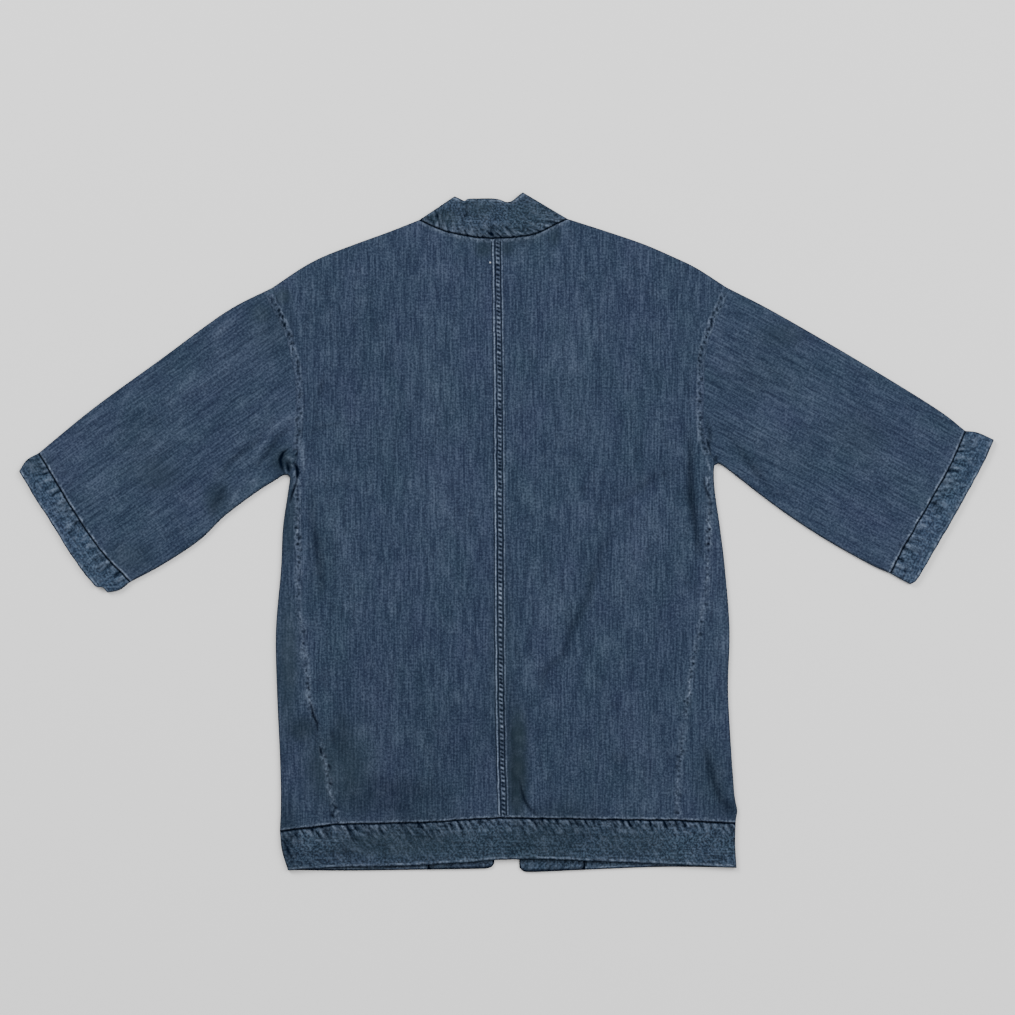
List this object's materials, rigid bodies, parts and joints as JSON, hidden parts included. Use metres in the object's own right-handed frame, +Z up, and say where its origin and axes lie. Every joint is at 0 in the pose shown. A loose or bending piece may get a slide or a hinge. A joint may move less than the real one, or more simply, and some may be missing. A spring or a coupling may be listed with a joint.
{
  "type": "denim kimono jacket",
  "caption": "Open-front denim kimono jacket laid flat on its front: wide three-quarter sleeves with narrow cuffs, a plain neckband down both front edges and a straight hem band.",
  "frame": {"origin": "middle of the jacket's outline, on the surface that it lies on", "axes": "+Z up out of the back of the jacket, +Y towards the neck, +X towards the wearer's right sleeve"},
  "size_m": [1.1688, 0.8148, 0.0064],
  "materials": {
    "denim_body": "washed indigo twill, warp along the body",
    "denim_sleeve": "washed indigo twill, warp along the sleeve",
    "denim_band": "doubled washed indigo twill with topstitching"
  },
  "bodies": {
    "root": {"back_left": "denim_body", "back_right": "denim_body", "front_left": "denim_body", "front_right": "denim_body", "sleeve_left": "denim_sleeve", "sleeve_right": "denim_sleeve", "cuff_left": "denim_band", "cuff_right": "denim_band", "neckband": "denim_band", "hem_band": "denim_band"}
  },
  "joints": []
}
